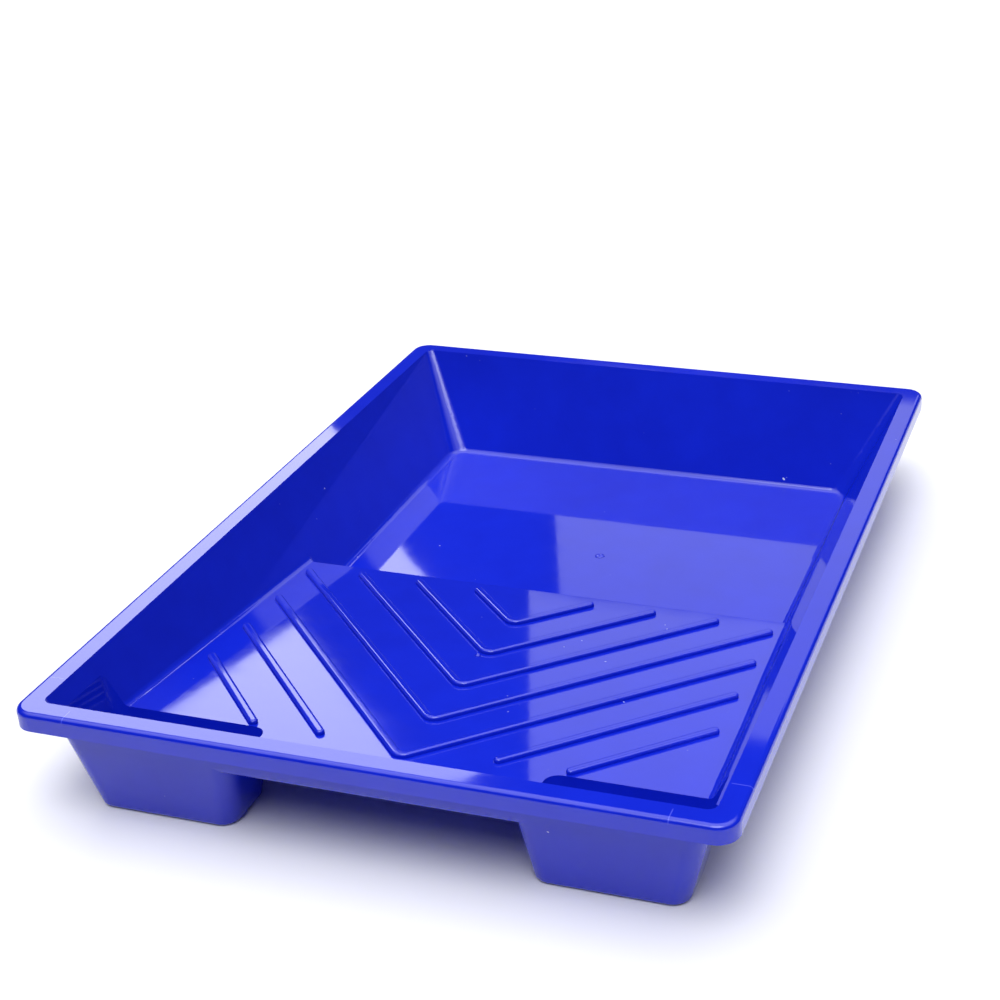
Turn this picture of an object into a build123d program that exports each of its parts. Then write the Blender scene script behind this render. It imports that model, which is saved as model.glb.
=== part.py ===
from build123d import *
import os
from math import hypot

# Paint roller tray: one thin plastic moulding with a sloping ramp, a deep well behind it,
# a flat rim with a turned-down skirt, and two hollow feet under the shallow end.
# Each node is one region of the moulding, and neighbours meet face to face.
# Millimetres. +X is right, +Y points to the deep end, +Z is up.
# The origin is the middle of the footprint, on the ground.

# Overall size and the thickness of the plastic
width = 290.0
length = 400.0
height = 50.0
wall = 2.0

# Rim: a flat land round the opening, with a skirt turned down from its outer edge
rim_land = 9.4
rim_corner = 9.0
rim_edge_round = 2.2
skirt_depth = 7.8
skirt_wall = 1.8

# Lean of the walls: how far each runs outwards for every millimetre that it rises
side_lean = 0.50
front_lean = 0.14
back_lean = 0.57
opening_corner = 4.0
floor_corner = 9.0

# Ramp and well, measured on the paint side
ramp_front_height = 30.0
ramp_edge_height = 16.1
ramp_edge_y = -1.6
step_lean = 0.20
blend = 3.5

# Feet: hollow pockets sunk through the front corners of the ramp
foot_gap = 119.0
foot_side_inset = 16.4
pocket_run = 36.7
foot_lean = 0.15
foot_side_lean = 0.26
foot_corner = 6.0
foot_bottom_round = 0.6

# Ribs on the ramp
rib_width = 3.8
rib_height = 1.9
rib_edge_round = 1.2
rib_pitch_share = 0.1614          # of the ramp's length, measured along the ground
rib_slope = 1.035
chevron_count = 5
side_rib_count = 2
first_apex_share = 0.1926         # how far in front of the ramp's edge the first point lies
rib_side_inset = 33.0
rib_back_margin = 8.3
rib_lip_margin = 2.6

# Values that follow from the sizes above
over = 10.0                                      # how far cutting solids run past the tray
inner_front_y = rim_land - length / 2            # front edge of the opening
ramp_run = ramp_edge_y - inner_front_y
ramp_fall = (ramp_front_height - ramp_edge_height) / ramp_run
flange_bottom = height - wall
pocket_back_y = inner_front_y + pocket_run
step_foot_y = ramp_edge_y + step_lean * (ramp_edge_height - wall)
foot_reach = width / 2 - foot_side_inset
rib_side_reach = width / 2 - rib_side_inset
rib_pitch = rib_pitch_share * ramp_run
first_apex_y = ramp_edge_y - first_apex_share * ramp_run


def ramp_z(y):
    return ramp_edge_height + ramp_fall * (ramp_edge_y - y)


def half_width(z, offset):
    return width / 2 - rim_land - side_lean * (height - z) + offset * hypot(1, side_lean)


def front_y(z, offset):
    return inner_front_y + front_lean * (height - z) - offset * hypot(1, front_lean)


def back_y(z, offset):
    return length / 2 - rim_land - back_lean * (height - z) + offset * hypot(1, back_lean)


def basin(offset, bottom, top):
    """The space between the leaning walls, moved out by offset, between two heights."""
    with BuildPart() as solid:
        for z in (bottom, top):
            share = (height - z) / (height - wall)
            radius = opening_corner + (floor_corner - opening_corner) * share + offset
            near, far = front_y(z, offset), back_y(z, offset)
            with BuildSketch(Plane.XY.offset(z)):
                with Locations((0, (near + far) / 2)):
                    RectangleRounded(2 * half_width(z, offset), far - near, max(radius, 0.5))
        loft(ruled=True)
    return solid.part


def ramp_plane(offset):
    """Top face of the ramp, moved down by offset."""
    point = (0, ramp_edge_y, ramp_edge_height - offset * hypot(1, ramp_fall))
    return Plane(origin=point, x_dir=(1, 0, 0), z_dir=(0, ramp_fall, 1))


def step_plane(offset):
    """Face of the drop behind the ramp, moved forwards by offset. Its normal points to the well."""
    point = (0, ramp_edge_y - offset * hypot(1, step_lean), ramp_edge_height)
    return Plane(origin=point, x_dir=(1, 0, 0), z_dir=(0, 1, step_lean))


def pocket_planes(offset):
    """The four sides of the right pocket, moved out by offset. Their normals point into the pocket."""
    across, along = offset * hypot(1, foot_lean), offset * hypot(1, foot_side_lean)
    end_point = (foot_gap / 2 - across, 0, ramp_z(pocket_back_y))
    back_point = (0, pocket_back_y + across, ramp_z(pocket_back_y))
    side_point = (foot_reach + along, 0, ramp_front_height)
    front_point = (0, front_y(height, offset), height)
    return [
        Plane(origin=end_point, z_dir=(1, 0, foot_lean)),
        Plane(origin=back_point, z_dir=(0, -1, foot_lean)),
        Plane(origin=side_point, z_dir=(-1, 0, foot_side_lean)),
        Plane(origin=front_point, z_dir=(0, 1, front_lean)),
    ]


def ramp_space(offset, top):
    """The space above the ramp, moved out by offset: 0 is the paint side, wall the underside."""
    with BuildPart() as space:
        add(basin(offset, wall - offset, top))
        split(bisect_by=ramp_plane(offset), keep=Keep.TOP)
        split(bisect_by=step_plane(-2 * blend), keep=Keep.BOTTOM)
        ramp_face = space.faces().sort_by(Axis.Z)[0]
        fillet(ramp_face.edges().sort_by(Axis.Y)[:-1], radius=blend + offset)
    return space.part


def well_space(offset, top):
    """The space in the well behind the step, moved out by offset."""
    with BuildPart() as space:
        add(basin(offset, wall - offset, top))
        split(bisect_by=step_plane(offset), keep=Keep.TOP)
        floor_face = space.faces().sort_by(Axis.Z)[0]
        step_face = space.faces().sort_by(Axis.Y)[0]
        step_uprights = step_face.edges().filter_by(Axis.X, reverse=True)
        fillet(floor_face.edges() + step_uprights, radius=blend + offset)
    return space.part


def pocket_space(offset, top):
    """The space in the right foot, moved out by offset, up to the height top."""
    bottom = wall - offset
    with BuildPart() as space:
        with BuildSketch(Plane.XY.offset(bottom)):
            Rectangle(width / 2, length / 2, align=(Align.MIN, Align.MAX))
        extrude(amount=top - bottom)
        for plane in pocket_planes(offset):
            split(bisect_by=plane, keep=Keep.TOP)
        uprights = space.edges().filter_by(lambda edge: abs(edge.tangent_at(0.5).Z) > 0.8)
        fillet(uprights, radius=foot_corner + offset)
        fillet(space.faces().sort_by(Axis.Z)[0].edges(), radius=foot_bottom_round + offset)
    return space.part


def tray_space(offset, top):
    """All of the space inside the tray, moved out by offset."""
    with BuildPart() as space:
        add(ramp_space(offset, top))
        add(well_space(offset, top))
        add(pocket_space(offset, top))
        mirror(pocket_space(offset, top), about=Plane.YZ)
    return space.part


def corner_plane(side, end):
    """Mitre plane through a corner of the tray. Side and end are -1 or 1. Its normal points outwards."""
    reach = front_y if end < 0 else back_y
    outer = Vector(side * width / 2, end * length / 2, height)
    upper = Vector(side * half_width(height, 0), reach(height, 0), height)
    lower = Vector(side * half_width(wall, 0), reach(wall, 0), wall)
    normal = (upper - outer).cross(lower - outer)
    return Plane(origin=outer, z_dir=normal if normal.X * side > 0 else -normal)


def side_piece(ring, side):
    """The part of a ring round the tray that lies on the left (-1) or on the right (1)."""
    with BuildPart() as piece:
        add(ring)
        for end in (-1, 1):
            split(bisect_by=corner_plane(side, end), keep=Keep.TOP)
    return piece.part


def end_piece(ring, end):
    """The part of a ring round the tray that lies at the front (-1) or at the back (1)."""
    with BuildPart() as piece:
        add(ring)
        for side in (-1, 1):
            split(bisect_by=corner_plane(side, end), keep=Keep.BOTTOM)
        split(bisect_by=Plane.XZ, keep=Keep.TOP if end < 0 else Keep.BOTTOM)
    return piece.part


def rib(points):
    """A raised bead with round ends, along a line drawn on the ramp."""
    with BuildPart() as bead:
        with BuildSketch(ramp_plane(0)):
            with BuildLine():
                if len(points) > 2:
                    FilletPolyline(*points, radius=rib_width)
                else:
                    Line(*points)
                offset(amount=rib_width / 2)
            make_face()
        extrude(amount=rib_height)
        upwards = Axis(ramp_plane(0).origin, ramp_plane(0).z_dir)
        fillet(bead.faces().sort_by(upwards)[-1].edges(), radius=rib_edge_round)
    return bead.part


os.makedirs("parts", exist_ok=True)

# Rim: the flat land, its rounded outer edge and the skirt, as one ring with mitred corners
with BuildPart() as rim_ring:
    with BuildSketch(Plane.XY.offset(height - skirt_depth)):
        RectangleRounded(width, length, rim_corner)
    extrude(amount=skirt_depth)
    fillet(rim_ring.faces().sort_by(Axis.Z)[-1].edges(), radius=rim_edge_round)
    with BuildSketch(Plane.XY.offset(height - skirt_depth)):
        RectangleRounded(width - 2 * skirt_wall, length - 2 * skirt_wall, rim_corner - skirt_wall)
    extrude(amount=skirt_depth - wall, mode=Mode.SUBTRACT)
    add(basin(0, flange_bottom - over, height + over), mode=Mode.SUBTRACT)

with BuildPart() as rim_left:
    add(side_piece(rim_ring.part, -1))
rim_left.part.label = "rim_left"
export_step(rim_left.part, "parts/rim_left.step")

with BuildPart() as rim_right:
    add(side_piece(rim_ring.part, 1))
rim_right.part.label = "rim_right"
export_step(rim_right.part, "parts/rim_right.step")

with BuildPart() as rim_front:
    add(end_piece(rim_ring.part, -1))
rim_front.part.label = "rim_front"
export_step(rim_front.part, "parts/rim_front.step")

with BuildPart() as rim_back:
    add(end_piece(rim_ring.part, 1))
rim_back.part.label = "rim_back"
export_step(rim_back.part, "parts/rim_back.step")

# The solid under the rim as if it were full, and the space inside it
with BuildPart() as outside:
    add(tray_space(wall, height))
    split(bisect_by=Plane.XY.offset(flange_bottom), keep=Keep.BOTTOM)
with BuildPart() as inside:
    add(tray_space(0, height + over))

# Right foot: the pocket wall below the ramp. The left foot is its mirror image
with BuildPart() as right_foot:
    add(pocket_space(wall, height))
    add(pocket_space(0, height + over), mode=Mode.SUBTRACT)
    split(bisect_by=ramp_plane(wall), keep=Keep.BOTTOM)
right_foot.part.label = "right_foot"
export_step(right_foot.part, "parts/right_foot.step")

with BuildPart() as left_foot:
    mirror(right_foot.part, about=Plane.YZ)
left_foot.part.label = "left_foot"
export_step(left_foot.part, "parts/left_foot.step")

# Walls: what lies within one blend radius of the leaning sides
with BuildPart() as wall_ring:
    add(outside.part)
    add(basin(-blend, -over, height + over), mode=Mode.SUBTRACT)
    add(inside.part, mode=Mode.SUBTRACT)
    add(right_foot.part, mode=Mode.SUBTRACT)
    add(left_foot.part, mode=Mode.SUBTRACT)
with BuildPart() as front_wall:
    add(end_piece(wall_ring.part, -1))
front_wall.part.label = "front_wall"
export_step(front_wall.part, "parts/front_wall.step")

with BuildPart() as back_wall:
    add(end_piece(wall_ring.part, 1))
back_wall.part.label = "back_wall"
export_step(back_wall.part, "parts/back_wall.step")

ramp_cut = Plane(origin=(0, ramp_edge_y - 2 * wall, 0), x_dir=(1, 0, 0), z_dir=(0, 1, 0))
with BuildPart() as left_ramp_side:
    add(side_piece(wall_ring.part, -1))
    split(bisect_by=ramp_cut, keep=Keep.BOTTOM)
left_ramp_side.part.label = "left_ramp_side"
export_step(left_ramp_side.part, "parts/left_ramp_side.step")

with BuildPart() as left_well_side:
    add(side_piece(wall_ring.part, -1))
    split(bisect_by=ramp_cut, keep=Keep.TOP)
left_well_side.part.label = "left_well_side"
export_step(left_well_side.part, "parts/left_well_side.step")

with BuildPart() as right_ramp_side:
    add(side_piece(wall_ring.part, 1))
    split(bisect_by=ramp_cut, keep=Keep.BOTTOM)
right_ramp_side.part.label = "right_ramp_side"
export_step(right_ramp_side.part, "parts/right_ramp_side.step")

with BuildPart() as right_well_side:
    add(side_piece(wall_ring.part, 1))
    split(bisect_by=ramp_cut, keep=Keep.TOP)
right_well_side.part.label = "right_well_side"
export_step(right_well_side.part, "parts/right_well_side.step")

# Bottom of the tray, inside the wall ring: the ramp, the drop behind it and the floor of the well
floor_cut = Plane(origin=(0, step_foot_y + blend, 0), x_dir=(1, 0, 0), z_dir=(0, 1, 0))
with BuildPart() as bottom:
    add(outside.part)
    add(basin(-blend, -over, height + over), mode=Mode.INTERSECT)
    add(inside.part, mode=Mode.SUBTRACT)
    add(right_foot.part, mode=Mode.SUBTRACT)
    add(left_foot.part, mode=Mode.SUBTRACT)
with BuildPart() as ramp_panel:
    add(bottom.part)
    split(bisect_by=ramp_cut, keep=Keep.BOTTOM)
ramp_panel.part.label = "ramp_panel"
export_step(ramp_panel.part, "parts/ramp_panel.step")

with BuildPart() as ramp_step:
    add(bottom.part)
    split(bisect_by=ramp_cut, keep=Keep.TOP)
    split(bisect_by=floor_cut, keep=Keep.BOTTOM)
ramp_step.part.label = "ramp_step"
export_step(ramp_step.part, "parts/ramp_step.step")

with BuildPart() as well_floor:
    add(bottom.part)
    split(bisect_by=floor_cut, keep=Keep.TOP)
well_floor.part.label = "well_floor"
export_step(well_floor.part, "parts/well_floor.step")


# Chevron ribs: each points to the shallow end and runs out just short of the ramp's edge or its side
ramp_length = hypot(1, ramp_fall)
for index in range(chevron_count):
    apex = (first_apex_y - ramp_edge_y - rib_pitch * index) * ramp_length
    reach = min(rib_side_reach, (-rib_back_margin - apex) / rib_slope)
    tip = apex + rib_slope * reach
    with BuildPart() as chevron:
        add(rib([(-reach, tip), (0, apex), (reach, tip)]))
    chevron.part.label = f"chevron_rib_{index + 1}"
    export_step(chevron.part, f"parts/chevron_rib_{index + 1}.step")

# Side ribs: the same pattern carried on in front of the chevrons, cut short behind the feet
for index in range(side_rib_count):
    apex = (first_apex_y - ramp_edge_y - rib_pitch * (chevron_count + index)) * ramp_length
    tip = apex + rib_slope * rib_side_reach
    root = (pocket_back_y + rib_lip_margin - ramp_edge_y) * ramp_length
    with BuildPart() as right_rib:
        add(rib([((root - apex) / rib_slope, root), (rib_side_reach, tip)]))
    right_rib.part.label = f"right_rib_{index + 1}"
    export_step(right_rib.part, f"parts/right_rib_{index + 1}.step")
    with BuildPart() as left_rib:
        mirror(right_rib.part, about=Plane.YZ)
    left_rib.part.label = f"left_rib_{index + 1}"
    export_step(left_rib.part, f"parts/left_rib_{index + 1}.step")
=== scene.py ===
from math import atan, cos, pi, sin

import bmesh
import bpy
from mathutils import Matrix, Vector


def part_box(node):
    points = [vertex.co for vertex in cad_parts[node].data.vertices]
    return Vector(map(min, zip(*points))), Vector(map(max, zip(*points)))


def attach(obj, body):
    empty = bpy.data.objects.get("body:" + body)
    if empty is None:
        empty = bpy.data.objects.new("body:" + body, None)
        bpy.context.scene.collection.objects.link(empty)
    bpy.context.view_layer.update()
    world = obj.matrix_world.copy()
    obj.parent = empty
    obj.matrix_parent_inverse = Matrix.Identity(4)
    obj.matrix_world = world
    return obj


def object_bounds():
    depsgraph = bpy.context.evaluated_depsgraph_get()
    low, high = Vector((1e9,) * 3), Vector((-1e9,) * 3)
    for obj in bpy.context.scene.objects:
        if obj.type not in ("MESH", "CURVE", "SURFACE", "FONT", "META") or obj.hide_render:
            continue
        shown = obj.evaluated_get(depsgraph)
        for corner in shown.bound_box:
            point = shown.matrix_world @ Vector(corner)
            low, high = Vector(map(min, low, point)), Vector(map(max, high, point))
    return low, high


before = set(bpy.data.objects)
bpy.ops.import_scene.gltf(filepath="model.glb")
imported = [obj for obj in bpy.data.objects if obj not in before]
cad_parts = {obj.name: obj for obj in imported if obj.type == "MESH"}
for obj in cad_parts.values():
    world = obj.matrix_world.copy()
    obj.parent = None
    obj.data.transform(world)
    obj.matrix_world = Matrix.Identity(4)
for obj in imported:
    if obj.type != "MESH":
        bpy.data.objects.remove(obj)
cad_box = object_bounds()


# ---------------------------------------------------------------- materials

def new_material(name):
    """An empty node material: its tree, its shader and a helper that adds nodes."""
    material = bpy.data.materials.new(name)
    material.use_nodes = True
    tree = material.node_tree
    tree.nodes.clear()
    output = tree.nodes.new("ShaderNodeOutputMaterial")
    shader = tree.nodes.new("ShaderNodeBsdfPrincipled")
    tree.links.new(shader.outputs["BSDF"], output.inputs["Surface"])
    return material, tree, shader


def noise(tree, coordinates, scale, detail, stretch=(1, 1, 1)):
    """A noise texture's value over the object, stretched along the row's axes."""
    mapping = tree.nodes.new("ShaderNodeMapping")
    mapping.inputs["Scale"].default_value = stretch
    tree.links.new(coordinates, mapping.inputs["Vector"])
    texture = tree.nodes.new("ShaderNodeTexNoise")
    texture.inputs["Scale"].default_value = scale
    texture.inputs["Detail"].default_value = detail
    tree.links.new(mapping.outputs["Vector"], texture.inputs["Vector"])
    return texture.outputs["Fac"]


def spread(tree, value, low, high, to_low, to_high):
    """Maps a value from one range to another, and holds it there at the ends."""
    node = tree.nodes.new("ShaderNodeMapRange")
    for name, number in (("From Min", low), ("From Max", high), ("To Min", to_low), ("To Max", to_high)):
        node.inputs[name].default_value = number
    tree.links.new(value, node.inputs["Value"])
    return node.outputs["Result"]


def combine(tree, operation, first, second):
    """One math node over two values."""
    node = tree.nodes.new("ShaderNodeMath")
    node.operation = operation
    tree.links.new(first, node.inputs[0])
    tree.links.new(second, node.inputs[1])
    return node.outputs["Value"]


def colour_between(tree, factor, low, high):
    """A colour that goes from low to high with the factor."""
    node = tree.nodes.new("ShaderNodeMix")
    node.data_type = "RGBA"
    node.inputs["A"].default_value = (*low, 1)
    node.inputs["B"].default_value = (*high, 1)
    tree.links.new(factor, node.inputs["Factor"])
    return node.outputs["Result"]


def colour_over(tree, factor, under, over):
    """A colour that goes from a linked colour to a fixed one with the factor."""
    node = tree.nodes.new("ShaderNodeMix")
    node.data_type = "RGBA"
    tree.links.new(under, node.inputs["A"])
    node.inputs["B"].default_value = (*over, 1)
    tree.links.new(factor, node.inputs["Factor"])
    return node.outputs["Result"]


def near(tree, value, centre, reach):
    """1 where the value is at the centre, and 0 further from it than reach."""
    rising = spread(tree, value, centre - reach, centre, 0, 1)
    falling = spread(tree, value, centre, centre + reach, 1, 0)
    return combine(tree, "MULTIPLY", rising, falling)


def mould_lines(tree, place):
    """The fine lines that the mould's corner inserts leave on top of the rim, at its front corners."""
    low, high = cad_box
    parts = tree.nodes.new("ShaderNodeSeparateXYZ")
    tree.links.new(place, parts.inputs["Vector"])
    across = tree.nodes.new("ShaderNodeMath")
    across.operation = "ABSOLUTE"
    tree.links.new(parts.outputs["X"], across.inputs[0])
    side, along = across.outputs["Value"], parts.outputs["Y"]
    half_width = 0.0003
    front_line_x = high.x - 0.0242
    front_line_end = low.y + 0.006
    side_line_y = low.y + 0.0267
    side_line_end = high.x - 0.008
    on_front = combine(tree, "MULTIPLY", near(tree, side, front_line_x, half_width),
                       spread(tree, along, front_line_end, front_line_end + 0.001, 1, 0))
    on_side = combine(tree, "MULTIPLY", near(tree, along, side_line_y, half_width),
                      spread(tree, side, side_line_end - 0.0007, side_line_end, 0, 1))
    on_top = spread(tree, parts.outputs["Z"], high.z - 0.002, high.z - 0.001, 0, 1)
    return combine(tree, "MULTIPLY", combine(tree, "MAXIMUM", on_front, on_side), on_top)


def blue_plastic():
    """Glossy royal blue polypropylene: flow marks, scuffs, mould lines and a few specks of dust."""
    deep_blue = (0.0035, 0.013, 0.44)
    light_blue = (0.0048, 0.019, 0.56)
    dust_grey = (0.55, 0.6, 0.75)
    line_blue = (0.08, 0.1, 0.7)
    material, tree, shader = new_material("blue_plastic")
    place = tree.nodes.new("ShaderNodeTexCoord").outputs["Object"]

    flow = noise(tree, place, 9, 3, (1, 0.35, 1))
    mottle = noise(tree, place, 60, 4)
    tone = combine(tree, "ADD", spread(tree, flow, 0.3, 0.7, 0, 0.7),
                   spread(tree, mottle, 0.3, 0.7, 0, 0.3))
    body = colour_between(tree, tone, deep_blue, light_blue)

    dust_noise = noise(tree, place, 420, 1)
    dust_patch = noise(tree, place, 14, 2)
    specks = combine(tree, "MULTIPLY", spread(tree, dust_noise, 0.80, 0.83, 0, 1),
                     spread(tree, dust_patch, 0.5, 0.62, 0, 1))
    dusty = colour_over(tree, specks, body, dust_grey)
    lined = colour_over(tree, mould_lines(tree, place), dusty, line_blue)
    tree.links.new(lined, shader.inputs["Base Color"])

    scuff = noise(tree, place, 35, 5, (1, 3, 1))
    rough = combine(tree, "ADD", spread(tree, scuff, 0.35, 0.75, 0.025, 0.06),
                    spread(tree, specks, 0, 1, 0, 0.4))
    tree.links.new(rough, shader.inputs["Roughness"])

    ripple = noise(tree, place, 22, 2)
    grain = noise(tree, place, 900, 2)
    height = combine(tree, "ADD", spread(tree, ripple, 0, 1, 0, 1), spread(tree, grain, 0, 1, 0, 0.02))
    bump = tree.nodes.new("ShaderNodeBump")
    bump.inputs["Strength"].default_value = 0.05
    bump.inputs["Distance"].default_value = 0.0006
    tree.links.new(height, bump.inputs["Height"])
    tree.links.new(bump.outputs["Normal"], shader.inputs["Normal"])

    shader.inputs["IOR"].default_value = 1.49
    shader.inputs["Coat Weight"].default_value = 0.25
    shader.inputs["Coat Roughness"].default_value = 0.05
    return material


def pale_floor():
    """Matt pale studio floor."""
    material, tree, shader = new_material("pale_floor")
    place = tree.nodes.new("ShaderNodeTexCoord").outputs["Object"]
    cloud = noise(tree, place, 1.5, 2)
    tone = colour_between(tree, spread(tree, cloud, 0.3, 0.7, 0, 1), (0.80, 0.80, 0.83), (0.83, 0.83, 0.85))
    tree.links.new(tone, shader.inputs["Base Color"])
    shader.inputs["Roughness"].default_value = 0.75
    shader.inputs["Specular IOR Level"].default_value = 0.2
    return material


plastic = blue_plastic()
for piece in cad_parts.values():
    piece.data.materials.clear()
    piece.data.materials.append(plastic)


# ---------------------------------------------------------------- small marks of the moulding

def low_dome(name, centre, tilt, radius, rise, dimple=0.0):
    """A gate mark: a low round bump on the plastic, with a dimple in its middle if one is asked for."""
    rings = 7
    steps = 32
    shape = bmesh.new()
    top = shape.verts.new((0, 0, rise - dimple))
    previous = None
    for ring in range(1, rings + 1):
        share = ring / rings
        height = rise * cos(share * pi / 2) - dimple * max(0, 1 - 2 * share)
        angles = [2 * pi * step / steps for step in range(steps)]
        loop = [shape.verts.new((radius * share * cos(angle), radius * share * sin(angle), height))
                for angle in angles]
        for step in range(steps):
            after = (step + 1) % steps
            if previous is None:
                shape.faces.new((top, loop[step], loop[after]))
            else:
                shape.faces.new((previous[step], loop[step], loop[after], previous[after]))
        previous = loop
    shape.faces.new(reversed(previous))
    for face in shape.faces:
        face.smooth = len(face.verts) < steps
    mesh = bpy.data.meshes.new(name)
    shape.to_mesh(mesh)
    shape.free()
    mesh.materials.append(plastic)
    bump = bpy.data.objects.new(name, mesh)
    bump.matrix_world = Matrix.Translation(centre) @ Matrix.Rotation(-tilt, 4, "X")
    bpy.context.scene.collection.objects.link(bump)
    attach(bump, "root")


ramp_slope = 0.0735   # the ramp's fall over its run


def ramp_top(y):
    """Height of the ramp's paint side at that distance along the tray."""
    low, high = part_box("ramp_panel")
    return high.z - ramp_slope * (y - low.y)


ramp_gate_y = -0.070
floor_gate_y = 0.0637
floor_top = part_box("well_floor")[1].z
low_dome("ramp_gate_mark", (-0.0034, ramp_gate_y, ramp_top(ramp_gate_y)), atan(ramp_slope), 0.0013, 0.0006)
low_dome("floor_gate_mark", (0.0072, floor_gate_y, floor_top), 0, 0.0024, 0.0007, 0.0004)


# ---------------------------------------------------------------- studio

def placed(centre, x_axis, y_axis, z_axis):
    """The matrix of a thing at the centre whose own axes point along those directions."""
    return Matrix.Translation(centre) @ Matrix((x_axis, y_axis, z_axis)).transposed().to_4x4()


def mesh_object(name, corners, faces, material):
    """A plain mesh with one material, linked into the scene."""
    mesh = bpy.data.meshes.new(name)
    mesh.from_pydata(corners, [], faces)
    mesh.materials.append(material)
    thing = bpy.data.objects.new(name, mesh)
    bpy.context.scene.collection.objects.link(thing)
    return thing


floor_reach = 8
floor = mesh_object("studio_floor",
                    [(-floor_reach, -floor_reach, 0), (floor_reach, -floor_reach, 0),
                     (floor_reach, floor_reach, 0), (-floor_reach, floor_reach, 0)],
                    [(0, 1, 2, 3)], pale_floor())


# Two softboxes stand behind the tray, where its ramp and its floor mirror them to the front.
wall_y = 2.2
left_corner = Vector((-1.31, wall_y, 1.05))
left_across = Vector((0.62, 0, 0.785)).normalized()
left_upwards = Vector((-0.785, 0, 0.62)).normalized()
left_size = (0.8, 1.5)
left_radiance = 3.8
back_centre = Vector((-0.08, wall_y, 1.29))
back_size = (1.5, 0.74)
back_radiance = 1.0


def softbox(name, centre, across, upwards, size, radiance, colour):
    """A rectangular softbox, of that brightness, whose sides run along across and upwards."""
    light = bpy.data.lights.new(name, "AREA")
    light.shape = "RECTANGLE"
    light.size, light.size_y = size
    light.energy = radiance * pi * size[0] * size[1]
    light.color = colour
    behind = upwards.cross(across)
    lamp = bpy.data.objects.new(name, light)
    lamp.matrix_world = placed(centre, -across, upwards, behind)
    bpy.context.scene.collection.objects.link(lamp)


left_centre = left_corner + left_across * left_size[0] / 2 + left_upwards * left_size[1] / 2
softbox("left_softbox", left_centre, left_across, left_upwards, left_size, left_radiance, (0.97, 0.98, 1))
softbox("back_softbox", back_centre, Vector((1, 0, 0)), Vector((0, 0, 1)), back_size, back_radiance,
        (0.95, 0.96, 1))


def overhead_sky():
    """A bright dome overhead, with a key light in it, and dimness round the horizon."""
    key_direction = Vector((0.1, -0.4, 0.9)).normalized()
    key_strength = 4.5
    dome_strength = 2.4
    horizon_strength = 0.04
    world = bpy.data.worlds.new("studio")
    world.use_nodes = True
    tree = world.node_tree
    direction = tree.nodes.new("ShaderNodeTexCoord").outputs["Generated"]
    parts = tree.nodes.new("ShaderNodeSeparateXYZ")
    tree.links.new(direction, parts.inputs["Vector"])
    background = tree.nodes["Background"]
    background.inputs["Color"].default_value = (0.95, 0.96, 1.0, 1)
    closeness = tree.nodes.new("ShaderNodeVectorMath")
    closeness.operation = "DOT_PRODUCT"
    closeness.inputs[1].default_value = key_direction
    tree.links.new(direction, closeness.inputs[0])
    key = spread(tree, closeness.outputs["Value"], 0.93, 0.97, 0, key_strength)
    dome = spread(tree, parts.outputs["Z"], 0.62, 0.86, horizon_strength, dome_strength)
    tree.links.new(combine(tree, "ADD", dome, key), background.inputs["Strength"])
    bpy.context.scene.world = world


overhead_sky()
bpy.context.scene.view_settings.view_transform = "Standard"


# ---------------------------------------------------------------- camera

def place_camera():
    """The camera stands in front of the tray's right corner and looks down on it."""
    camera = bpy.data.cameras.new("camera")
    camera.sensor_width = 36
    camera.lens = 65.45
    camera.shift_x = -0.14
    camera.clip_start = 0.01
    place = (0.27238, -0.69091, 0.42634)
    right = Vector((0.95519, 0.2949, -0.02549))
    up = Vector((-0.10857, 0.42917, 0.89667))
    back = right.cross(up).normalized()
    up = back.cross(right)
    viewer = bpy.data.objects.new("camera", camera)
    viewer.matrix_world = placed(place, right, up, back)
    bpy.context.scene.collection.objects.link(viewer)
    bpy.context.scene.camera = viewer


place_camera()
